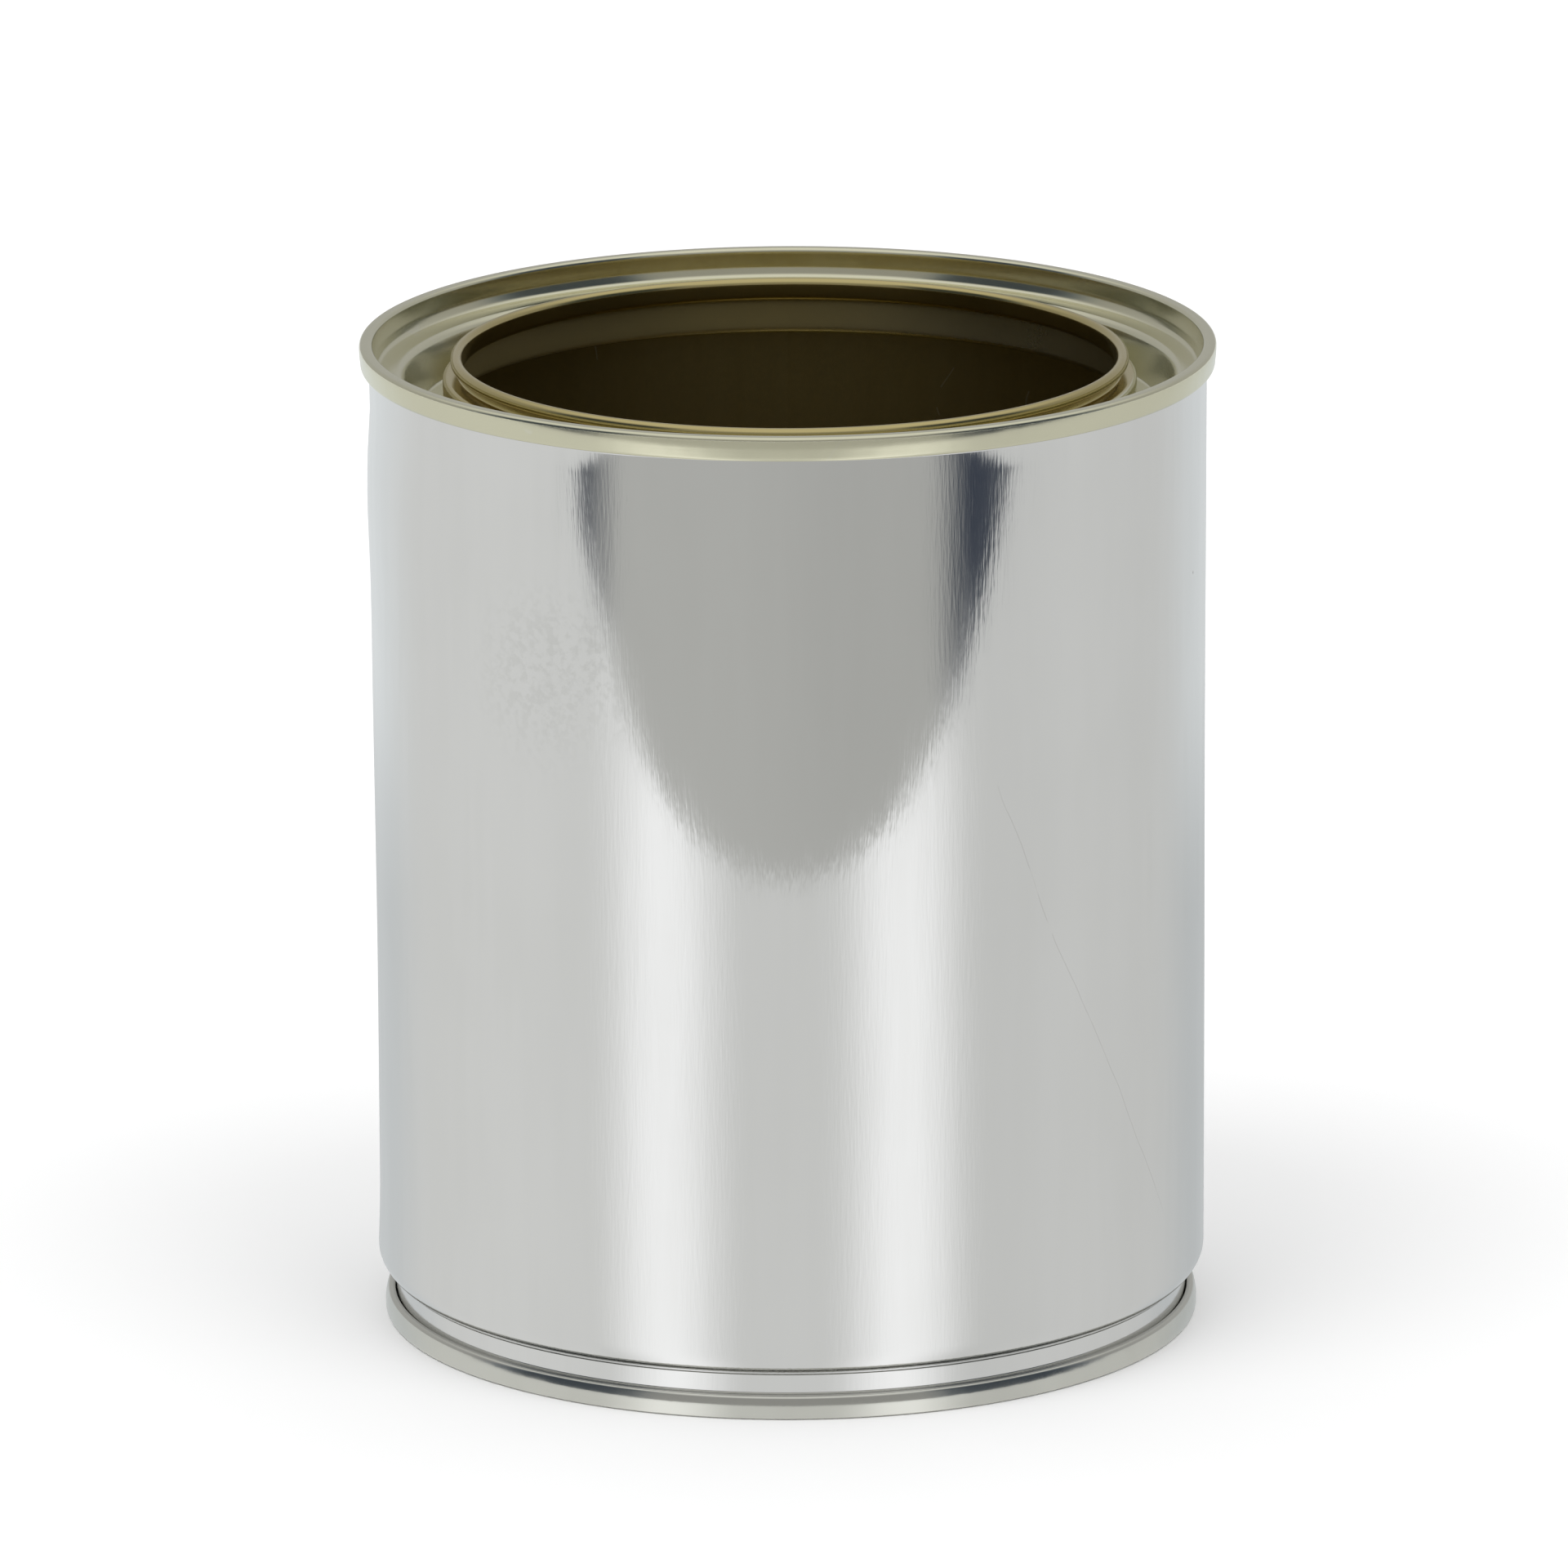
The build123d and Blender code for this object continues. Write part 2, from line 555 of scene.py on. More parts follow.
class Patterns:
    """The surface patterns that several finishes share, each a node group built once."""

    def __init__(self) -> None:
        """Builds the groups."""
        self.unrolled = self._unrolled()
        self.grain = self._grain()
        self.handling = self._handling()
        self.scratches = self._scratches()

    @staticmethod
    def _unrolled() -> Tree:
        """The sheet laid flat: arc length round the can, radius and height.

        The bearing is 0 at the front, and arc length is bearing times 50 mm. The sheet's two
        edges meet at the back, where the weld is.
        """
        tree, w, given, result = new_group(
            "unrolled sheet", {"Point": None}, ("Place", "Height", "Radius")
        )
        x, y, z = w.split(given["Point"])
        arc, radius = w.times(w.bearing(x, y), 0.05), w.length(x, y)
        w.feed(result["Place"], w.joined(arc, radius, z))
        w.feed(result["Height"], z)
        w.feed(result["Radius"], radius)
        return tree

    @staticmethod
    def _grain() -> Tree:
        """Rolling grain: noise drawn out along the rolling direction, at two widths.

        Across is the number of fine lines per metre round the can, Along the number per metre
        up it. Coarse is the same pattern at an eighth of both.
        """
        tree, w, given, result = new_group(
            "rolled grain", {"Place": None, "Across": 4000.0, "Along": 140.0}, ("Fine", "Coarse")
        )
        arc, radius, height = w.split(given["Place"])
        across, along = given["Across"], given["Along"]
        fine = w.joined(w.times(arc, across), w.times(radius, across), w.times(height, along))
        w.feed(result["Fine"], w.noise(fine, 1.0, 2.0, 0.6))
        w.feed(result["Coarse"], w.noise(fine, 0.125, 2.0, 0.5))
        return tree

    @staticmethod
    def _handling() -> Tree:
        """Marks of handling: cloudy smears, a mottled patch of fingerprints, specks, a scratch.

        The scratch runs down the right of the front as arc = 0.0670 - 0.719 z + 2.27 z^2
        between two heights z, all in metres, broken where a noise is low.
        """
        tree, w, given, result = new_group(
            "handling marks",
            {"Place": None, "Patch arc": 0.0, "Patch height": 0.09, "Patch size": 0.012},
            ("Smear", "Mottle", "Speck", "Scratch"),
        )
        place = given["Place"]
        w.feed(result["Smear"], w.ramp(w.noise(place, 45.0, 3.0, 0.55), 0.35, 0.75))
        arc, _, height = w.split(place)
        side = w.maths("DIVIDE", w.minus(arc, given["Patch arc"]), given["Patch size"])
        rise = w.maths("DIVIDE", w.minus(height, given["Patch height"]), given["Patch size"])
        blot = w.ramp(w.noise(place, 900.0, 3.0, 0.65), 0.42, 0.62)
        patch = w.ramp(w.length(side, rise), 1.15, 0.25)
        w.feed(result["Mottle"], w.times(patch, blot))
        distance, colour = w.cells(place, 170.0)
        chosen = w.ramp(w.split(colour)[0], 0.93, 0.95)
        w.feed(result["Speck"], w.times(w.ramp(distance, 0.045, 0.020), chosen))
        curve = w.linear(w.linear(height, 2.27, -0.719), height, 0.0670)
        waver = w.linear(w.noise(place, 60.0, 2.0, 0.5), 0.002, -0.001)
        off = w.maths("ABSOLUTE", w.minus(w.plus(arc, waver), curve))
        span = w.times(w.ramp(height, 0.016, 0.022), w.ramp(height, 0.079, 0.070))
        kept = w.times(span, w.ramp(w.noise(place, 260.0, 2.0, 0.6), 0.30, 0.50))
        w.feed(result["Scratch"], w.times(w.ramp(off, 0.00011, 0.00003), kept))
        return tree

    @staticmethod
    def _scratches() -> Tree:
        """Fine scratches: middle lines of a slow noise, kept only where a second noise is high."""
        tree, w, given, result = new_group(
            "fine scratches",
            {"Place": None, "Scale": 60.0, "Width": 0.004, "Amount": 0.55},
            ("Line",),
        )
        lines = w.noise(given["Place"], given["Scale"], 1.0, 0.3)
        off = w.maths("ABSOLUTE", w.minus(lines, 0.5))
        line = w.minus(1.0, w.maths("DIVIDE", off, given["Width"]))
        second = w.noise(given["Place"], 230.0, 1.0, 0.4)
        kept = w.maths("GREATER_THAN", second, given["Amount"])
        w.feed(result["Line"], w.times(w.maths("MAXIMUM", line, 0.0), kept))
        return tree


# Finishes

SPECK: Colour = (0.30, 0.28, 0.26, 1.0)
SCUFF: Colour = (0.72, 0.71, 0.62, 1.0)
# In metres: the neck, collar and curl lie inside NECK_RADIUS and the neck below NECK_TOP; inside
# NECK_RADIUS the gold is painted darker, as shade. The seam's bends begin at STRETCHED_RADIUS,
# where the stretched lacquer is thin.
NECK_RADIUS: Span = (0.0412, 0.0409)
NECK_TOP: Span = (0.1148, 0.1140)
STRETCHED_RADIUS: Span = (0.0494, 0.0503)


def new_material(name: str) -> tuple[Material, Wiring, dict[str, Socket]]:
    """Starts a material; returns it with its Wiring and its Principled shader's inputs."""
    material = bpy.data.materials.new(name)
    material.use_nodes = True
    shader = material.node_tree.nodes["Principled BSDF"]
    return material, Wiring(material.node_tree), by_name(shader.inputs)


@dataclass(frozen=True)
class Tinplate:
    """Bright rolled tinplate with its grain up the can.

    Attributes:
        base: Colour of clean tin.
        dull: Colour of tin under smears and mottling.
        roughness: Roughness of clean tin.
        spread: How much wider gloss spreads across the grain than along it.
        grain_depth: Depth of the fine grain in metres.
        across: Fine grain lines per metre round the can.
        along: The same up the can.
        patch: Arc, height and size of the mottled patch, in metres.
        flat: Whether the sheet is a disc, whose grain isn't wrapped round the axis.
    """

    name: str = "tinplate"
    base: Colour = (0.765, 0.765, 0.762, 1.0)
    dull: Colour = (0.70, 0.70, 0.69, 1.0)
    roughness: float = 0.086
    spread: float = 0.92
    grain_depth: float = 1.0e-5
    across: float = 3000.0
    along: float = 260.0
    patch: tuple[float, float, float] = (-0.0305, 0.0880, 0.0125)
    flat: bool = False

    def material(self, patterns: Patterns) -> Material:
        """Builds the material from the shared patterns."""
        material, w, shader = new_material(self.name)
        point = w.point()
        sheet = w.group(patterns.unrolled, Point=point)
        place = point if self.flat else sheet["Place"]
        grain = w.group(patterns.grain, Place=place, Across=self.across, Along=self.along)
        arc, height, size = self.patch
        marks = w.group(
            patterns.handling, Place=place, Patch_arc=arc, Patch_height=height, Patch_size=size
        )
        fine, coarse = grain["Fine"], grain["Coarse"]
        mottle, smear = marks["Mottle"], marks["Smear"]
        streak = w.ramp(coarse, 0.35, 0.65)
        share = w.summed(0.0, (mottle, 0.60), (smear, 0.20), (streak, 0.12))
        colour = w.blend(share, self.base, self.dull)
        speck = w.linear(marks["Scratch"], 0.24, marks["Speck"])
        w.feed(shader["Base Color"], w.blend(w.times(speck, 0.8), colour, SPECK))
        band = w.ramp(coarse, 0.3, 0.7)
        rough = w.summed(self.roughness - 0.015, (band, 0.03), (mottle, 0.10), (smear, 0.012))
        w.feed(shader["Roughness"], rough)
        shader["Metallic"].default_value = 1.0
        shader["Anisotropic"].default_value = self.spread
        normal = w.bump(fine, self.grain_depth)
        w.feed(shader["Normal"], w.bump(coarse, self.grain_depth * 1.2, normal))
        return material


@dataclass(frozen=True)
class Lacquer:
    """Tinplate under a clear gold lacquer.

    Attributes:
        thin: Colour where the lacquer is thin, as over bends and rubbed edges.
        thick: Colour where the lacquer has run thick.
        painted_mouth_shade: Darker, more saturated gold of the curl, collar and neck; painted
            shade.
        roughness: Roughness of the tin under the lacquer.
        gloss: Strength of the lacquer's own gloss.
        gloss_roughness: Roughness of that gloss.
        grain_depth: Depth of the fine grain in metres.
        across: Fine grain lines per metre round the can.
        along: The same up the can.
        scratch: How strongly the fine scratches show.
        dull_neck: How much rougher the sheet is inside the neck.
        line_depth: Depth of the forming lines round the can, in metres.
    """

    name: str
    thin: Colour
    thick: Colour
    painted_mouth_shade: Colour = (0.51, 0.43, 0.205, 1.0)
    roughness: float = 0.18
    gloss: float = 0.06
    gloss_roughness: float = 0.10
    grain_depth: float = 1.2e-6
    across: float = 1500.0
    along: float = 1500.0
    scratch: float = 0.4
    dull_neck: float = 0.0
    line_depth: float = 2.0e-6

    def material(self, patterns: Patterns) -> Material:
        """Builds the material from the shared patterns."""
        material, w, shader = new_material(self.name)
        sheet = w.group(patterns.unrolled, Point=w.point())
        place, radius = sheet["Place"], sheet["Radius"]
        grain = w.group(patterns.grain, Place=place, Across=self.across, Along=self.along)
        lines = w.group(patterns.scratches, Place=place, Scale=48.0, Width=0.0035, Amount=0.56)
        cloud = w.ramp(w.noise(place, 110.0, 3.0, 0.6), 0.35, 0.7)
        fine, streak = grain["Fine"], w.ramp(grain["Coarse"], 0.3, 0.7)
        stretched = w.ramp(radius, *STRETCHED_RADIUS)
        share = w.summed(0.6, (stretched, -0.6), (cloud, 0.25), (streak, 0.15))
        colour = w.blend(share, self.thin, self.thick)
        scuff = w.times(lines["Line"], self.scratch)
        colour = w.blend(scuff, colour, SCUFF)
        inner = w.ramp(radius, *NECK_RADIUS)
        # Curl, collar and neck get a darker, more saturated gold: painted shade for light bounced
        # in the mouth.
        w.feed(shader["Base Color"], w.blend(inner, colour, self.painted_mouth_shade))
        within = w.times(inner, w.ramp(sheet["Height"], *NECK_TOP))
        rough = w.summed(
            self.roughness - 0.03, (cloud, 0.03), (fine, 0.04), (within, self.dull_neck)
        )
        w.feed(shader["Roughness"], rough)
        w.feed(shader["Metallic"], w.linear(within, -0.3 * self.dull_neck, 1.0))
        shader["Coat Weight"].default_value = self.gloss
        shader["Coat Roughness"].default_value = self.gloss_roughness
        arc, inward, height = w.split(place)
        around = w.joined(w.times(arc, 60.0), w.times(inward, 3000.0), w.times(height, 3000.0))
        formed = w.bump(w.noise(around, 1.0, 2.0, 0.6), self.line_depth)
        w.feed(shader["Normal"], w.bump(fine, self.grain_depth, formed))
        return material


@dataclass(frozen=True)
class Compound:
    """Dried sealing compound: a dull, slightly grainy rubber."""

    name: str = "sealing_compound"
    base: Colour = (0.42, 0.43, 0.38, 1.0)
    dark: Colour = (0.30, 0.31, 0.28, 1.0)

    def material(self) -> Material:
        """Builds the material: two tones of noise and a fine bump."""
        material, w, shader = new_material(self.name)
        tone = w.noise(w.point(), 900.0, 3.0, 0.6)
        w.feed(shader["Base Color"], w.blend(tone, self.dark, self.base))
        w.feed(shader["Roughness"], w.ramp(tone, 0.2, 0.8, 0.55, 0.8))
        w.feed(shader["Normal"], w.bump(tone, 2.0e-5))
        return material


# The can


@dataclass(frozen=True)
class CanSizes:
    """Driving sizes in millimetres; height and both seam radii are read from the frame."""

    height: float
    top_seam: float
    bottom_seam: float
    body: float = BODY_RADIUS
    body_sheet: float = 0.24
    end_sheet: float = 0.28
    hook_gap: float = 0.09
    chuck_gap: float = 0.04
    seam_height: float = 2.9
    seam_edge: float = 0.45
    fold: float = 0.48
    tip_gap: float = 0.14
    compound_gap: float = 0.29
    compound_width: float = 0.40
    compound_height: float = 0.23

    @classmethod
    def from_frame(cls) -> "CanSizes":
        """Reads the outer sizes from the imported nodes' boxes."""
        low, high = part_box("top_ring")
        foot_low, foot_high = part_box("bottom_end")
        return cls(
            height=high[2] / MM,
            top_seam=(high[0] - low[0]) / 2 / MM,
            bottom_seam=(foot_high[0] - foot_low[0]) / 2 / MM,
        )

    @property
    def body_hook_depth(self) -> float:
        """From a seam's outer face to the inner face of the side wall's hook."""
        return self.end_sheet + self.hook_gap + self.body_sheet

    @property
    def hook_depth(self) -> float:
        """From a seam's outer face to the face of the end's hook."""
        return self.body_hook_depth + self.hook_gap

    @property
    def wall_depth(self) -> float:
        """From a seam's outer face to the outside of the side wall within it."""
        return self.hook_depth + self.end_sheet + self.hook_gap

    @property
    def chuck_depth(self) -> float:
        """From a seam's outer face to the product side of the chuck wall."""
        return self.wall_depth + self.body_sheet + self.chuck_gap

    @property
    def seam_bends(self) -> tuple[float, float, float, float]:
        """Roundings of an end's sheet at the corners that end_seam gives."""
        edge, turn = self.seam_edge - self.end_sheet, self.fold - self.end_sheet
        return edge, edge, turn, turn

    def end_seam(self, outer: float, face: float, inwards: float) -> list[Span]:
        """Corners of an end's sheet in its seam, from the chuck wall round to the hook's tip.

        Args:
            outer: Radius of the seam's outer face.
            face: Height of the seam's flat end.
            inwards: 1.0 where the can lies above that end, -1.0 where it lies below.
        """
        chuck, wall, hook = (outer - d for d in (self.chuck_depth, self.end_sheet, self.hook_depth))
        near = face + inwards * self.end_sheet
        fold = face + inwards * (self.seam_height - self.end_sheet)
        tip = near + inwards * (self.compound_gap + self.body_sheet + self.tip_gap)
        return [(chuck, near), (wall, near), (wall, fold), (hook, fold), (hook, tip)]


@dataclass
class SideWall(TurnedSheet):
    """The rolled side wall, with its weld down the back.

    Attributes:
        weld_width: Width of the weld in millimetres.
        weld_rise: How far the doubled sheet stands out.
        weld_span: Heights between which the weld shows.
    """

    weld_width: float = 0.9
    weld_rise: float = 0.09
    weld_span: Span = (9.0, 115.0)

    @classmethod
    def of(cls, size: CanSizes, outside: Material, inside: Material) -> "SideWall":
        """Lays out hook, fold, neck, shoulder, cylinder, flare, fold and hook."""
        foot, foot_hook = (size.bottom_seam - d for d in (size.wall_depth, size.body_hook_depth))
        head, head_hook = (size.top_seam - d for d in (size.wall_depth, size.body_hook_depth))
        low_fold = size.end_sheet + size.compound_gap + size.body_sheet
        high_fold = size.height - low_fold
        low_tip = size.seam_height - size.end_sheet - size.tip_gap
        inner = (size.end_sheet + 2 * size.hook_gap) / 2 - 0.01
        profile = Profile(
            corners=(
                (foot_hook, low_tip),
                (foot_hook, low_fold),
                (foot, low_fold),
                (foot, 5.2),
                (size.body, 6.4),
                (size.body, 115.9),
                (head, 116.5),
                (head, high_fold),
                (head_hook, high_fold),
                (head_hook, size.height - low_tip),
            ),
            radii=(inner, inner, 0.4, 3.4, 1.5, 1.5, inner, inner),
            run_step=2.5,
        )
        return cls(
            name="side_wall",
            node="can_body",
            slot="tinplate",
            profile=profile,
            thickness=size.body_sheet,
            side=Side.LEFT,
            finishes=(outside, inside),
        )

    def bearings(self) -> Array:
        """Even bearings with closer ones across the weld at the back."""
        even = super().bearings()
        half = math.degrees(self.weld_width / 2 / BODY_RADIUS)
        close = np.array([-1.6, -1.2, -1.0, -0.85, -0.4, 0.4, 0.85, 1.0, 1.2, 1.6]) * half
        close = np.where(close < 0.0, close + 180.0, close - 180.0)
        return np.unique(np.concatenate([even, close]))

    def radial(self, radius: Array, height: Array, bearing: Array, near: int) -> Array:
        """Adds the weld: a flat-topped ridge on the outer face, |arc| under half its width."""
        worn = super().radial(radius, height, bearing, near)
        arc = np.radians(180.0 - np.abs(bearing)) * radius
        ridge = 1.0 - smooth(self.weld_width * 0.42, self.weld_width * 0.58, arc)
        low, high = self.weld_span
        span = smooth(low - 0.5, low + 0.5, height) * (1.0 - smooth(high - 0.5, high + 0.5, height))
        outer = np.arange(len(radius))[:, None] < near
        return worn + np.where(outer, self.weld_rise * ridge * span, 0.0)


@dataclass
class SeamedEnd(TurnedSheet):
    """An end with a double seam, whose outer face carries the marks of the seaming rollers.

    Attributes:
        seed: Seed of the roller marks' random draw.
        marked: Heights between which the roller marks show.
        outermost: Radius outside which they show.
        set_over: How far the end's middle sits to the right of its seam, in millimetres.
    """

    seed: int = 0
    marked: Span = (0.0, 1.0)
    outermost: float = 50.0
    set_over: float = 0.0

    def radial(self, radius: Array, height: Array, bearing: Array, near: int) -> Array:
        """Adds the roller marks, always inwards, on the seam's outer wall.

        The middle is set over by s: a point at bearing b moves out by s sin b, less and less
        between the neck and the chuck wall.
        """
        worn = super().radial(radius, height, bearing, near)
        worn += self.set_over * smooth(48.5, 44.5, radius) * np.sin(np.radians(bearing))
        low, high = self.marked
        middle = bell((low + high) / 2, (high - low) * 0.42, height)
        depth = np.abs(HANDLING.roller_marks(bearing, self.seed))
        return np.where(radius > self.outermost, worn - depth * middle, worn)

    @classmethod
    def ring(cls, size: CanSizes, gold: Material) -> "SeamedEnd":
        """Lays out curl, collar, stepped neck, groove, ledge, chuck wall, seam and hook."""
        mouth, curl, curl_top = 38.8, 0.72, size.height - 1.5
        neck, neck_top, groove, ledge, ledge_end = 40.92, 114.75, 110.24, 115.14, 49.05
        seam = size.end_seam(size.top_seam, size.height, -1.0)
        profile = Profile(
            corners=(
                (mouth + size.end_sheet + 0.08, curl_top - 2 * curl),
                (mouth + 2 * curl, curl_top - 2 * curl),
                (mouth + 2 * curl, curl_top),
                (mouth, curl_top),
                (mouth, neck_top),
                (neck, neck_top),
                (neck, groove),
                (44.40, groove),
                (45.98, ledge),
                (ledge_end, ledge),
                (seam[0][0], 116.6),
                *seam,
            ),
            radii=(0.70, 0.70, 0.70, 0.70, 0.35, 0.90, 0.76, 0.75, 1.06, 2.0, *size.seam_bends),
            run_step=1.2,
            arc_step=10.0,
        )
        return cls(
            name="lacquered_top_ring",
            node="top_ring",
            slot="gold_lacquer",
            profile=profile,
            thickness=size.end_sheet,
            side=Side.LEFT,
            finishes=(gold, gold),
            columns=512,
            seed=5,
            marked=(size.height - size.seam_height, size.height),
            outermost=size.top_seam - size.end_sheet - 0.1,
            set_over=0.22,
        )

    @classmethod
    def bottom(cls, size: CanSizes, outside: Material, inside: Material) -> "SeamedEnd":
        """Lays out the beaded panel, chuck wall, seam and hook."""
        panel, panel_edge, chuck_foot = 4.1, 47.35, 2.2
        bead_depth, bead_half, flank = 0.7, 2.2, 1.0
        seam = size.end_seam(size.bottom_seam, 0.0, 1.0)
        beads: list[Span] = []
        for bead in (16.0, 32.0):
            beads += [
                (bead - bead_half, panel),
                (bead - bead_half + flank, panel - bead_depth),
                (bead + bead_half - flank, panel - bead_depth),
                (bead + bead_half, panel),
            ]
        profile = Profile(
            corners=((0.0, panel), *beads, (panel_edge, panel), (seam[0][0], chuck_foot), *seam),
            radii=(*([0.6] * len(beads)), 1.0, 2.0, *size.seam_bends),
            run_step=4.0,
        )
        return cls(
            name="seamed_bottom_end",
            node="bottom_end",
            slot="end_tinplate",
            profile=profile,
            thickness=size.end_sheet,
            side=Side.RIGHT,
            finishes=(inside, outside),
            columns=448,
            seed=11,
            marked=(0.0, size.seam_height),
            outermost=size.bottom_seam - size.end_sheet - 0.1,
        )


class Can:
    """The whole can: side wall, top ring, bottom end and two rings of sealing compound."""

    def __init__(self, patterns: Patterns) -> None:
        """Reads the sizes and builds the finishes."""
        self.size = CanSizes.from_frame()
        self.tin = Tinplate().material(patterns)
        self.end_tin = Tinplate(
            name="end_tinplate",
            base=(0.67, 0.67, 0.625, 1.0),
            dull=(0.55, 0.545, 0.50, 1.0),
            roughness=0.15,
            spread=0.6,
            grain_depth=3.0e-6,
            across=1500.0,
            along=1500.0,
            patch=(0.0, 0.5, 0.001),
            flat=True,
        ).material(patterns)
        self.ring_gold = Lacquer(
            name="gold_lacquer",
            thin=(0.68, 0.665, 0.51, 1.0),
            thick=(0.71, 0.69, 0.53, 1.0),
            dull_neck=0.26,
        ).material(patterns)
        self.wall_gold = Lacquer(
            name="gold_lacquer_inside",
            thin=(0.50, 0.43, 0.22, 1.0),
            thick=(0.42, 0.345, 0.15, 1.0),
            roughness=0.40,
            across=3000.0,
            along=80.0,
            scratch=0.6,
        ).material(patterns)
        self.compound = Compound().material()

    def build(self) -> list[Object]:
        """Builds every piece, in order from the wall outwards."""
        size = self.size
        middle = size.end_sheet + size.compound_gap / 2
        sheets = [
            SideWall.of(size, self.tin, self.wall_gold),
            SeamedEnd.ring(size, self.ring_gold),
            SeamedEnd.bottom(size, self.end_tin, self.wall_gold),
            self.sealing("top", size.top_seam, size.height - middle),
            self.sealing("bottom", size.bottom_seam, middle),
        ]
        return [sheet.build() for sheet in sheets]

    def sealing(self, end: str, outer: float, middle: float) -> TurnedSheet:
        """A ring of dried sealing compound: a bar in the seam's free space.

        Args:
            end: Which end's seam it lies in.
            outer: Radius of that seam's outer face in millimetres.
            middle: Height of the ring's middle.
        """
        size = self.size
        wall, low = outer - size.wall_depth, middle - size.compound_height / 2
        return TurnedSheet(
            name=f"{end}_seam_sealing",
            node=f"{end}_seam_compound",
            slot="compound",
            profile=Profile(corners=((wall, low), (wall + size.compound_width, low)), radii=()),
            thickness=size.compound_height,
            side=Side.LEFT,
            finishes=(self.compound, self.compound),
            columns=256,
        )


# Studio


@dataclass(frozen=True)
class Camera:
    """A long lens, slightly above the can, looking along +Y.

    Attributes:
        elevation: Height of the view above the horizon in degrees.
        distance: From the lens to the target in metres.
        focal: Focal length in millimetres on a 36 mm sensor.
        target: The point in the middle of the picture.
        roll: Turn of the picture's content, anticlockwise, in degrees.
    """

    elevation: float = 14.735
    distance: float = 1.7539
    focal: float = 336.88
    target: tuple[float, float, float] = (-0.00063, 0.0, 0.06445)
    roll: float = 0.21

    def place(self) -> None:
        """Adds the camera and makes it the scene's own."""
        tilt, roll = math.radians(self.elevation), math.radians(self.roll)
        back = Vector((0.0, -math.cos(tilt), math.sin(tilt)))
        right = Vector((1.0, 0.0, 0.0))
        up = back.cross(right)
        across = right * math.cos(roll) - up * math.sin(roll)
        along = right * math.sin(roll) + up * math.cos(roll)
        lens = bpy.data.cameras.new("camera")
        lens.sensor_width = 36.0
        lens.lens = self.focal
        lens.clip_end = 20.0
        camera = bpy.data.objects.new("camera", lens)
        turn = Matrix((across, along, back)).transposed().to_4x4()
        camera.matrix_world = Matrix.Translation(Vector(self.target) + back * self.distance) @ turn
        bpy.context.collection.objects.link(camera)
        bpy.context.scene.camera = camera


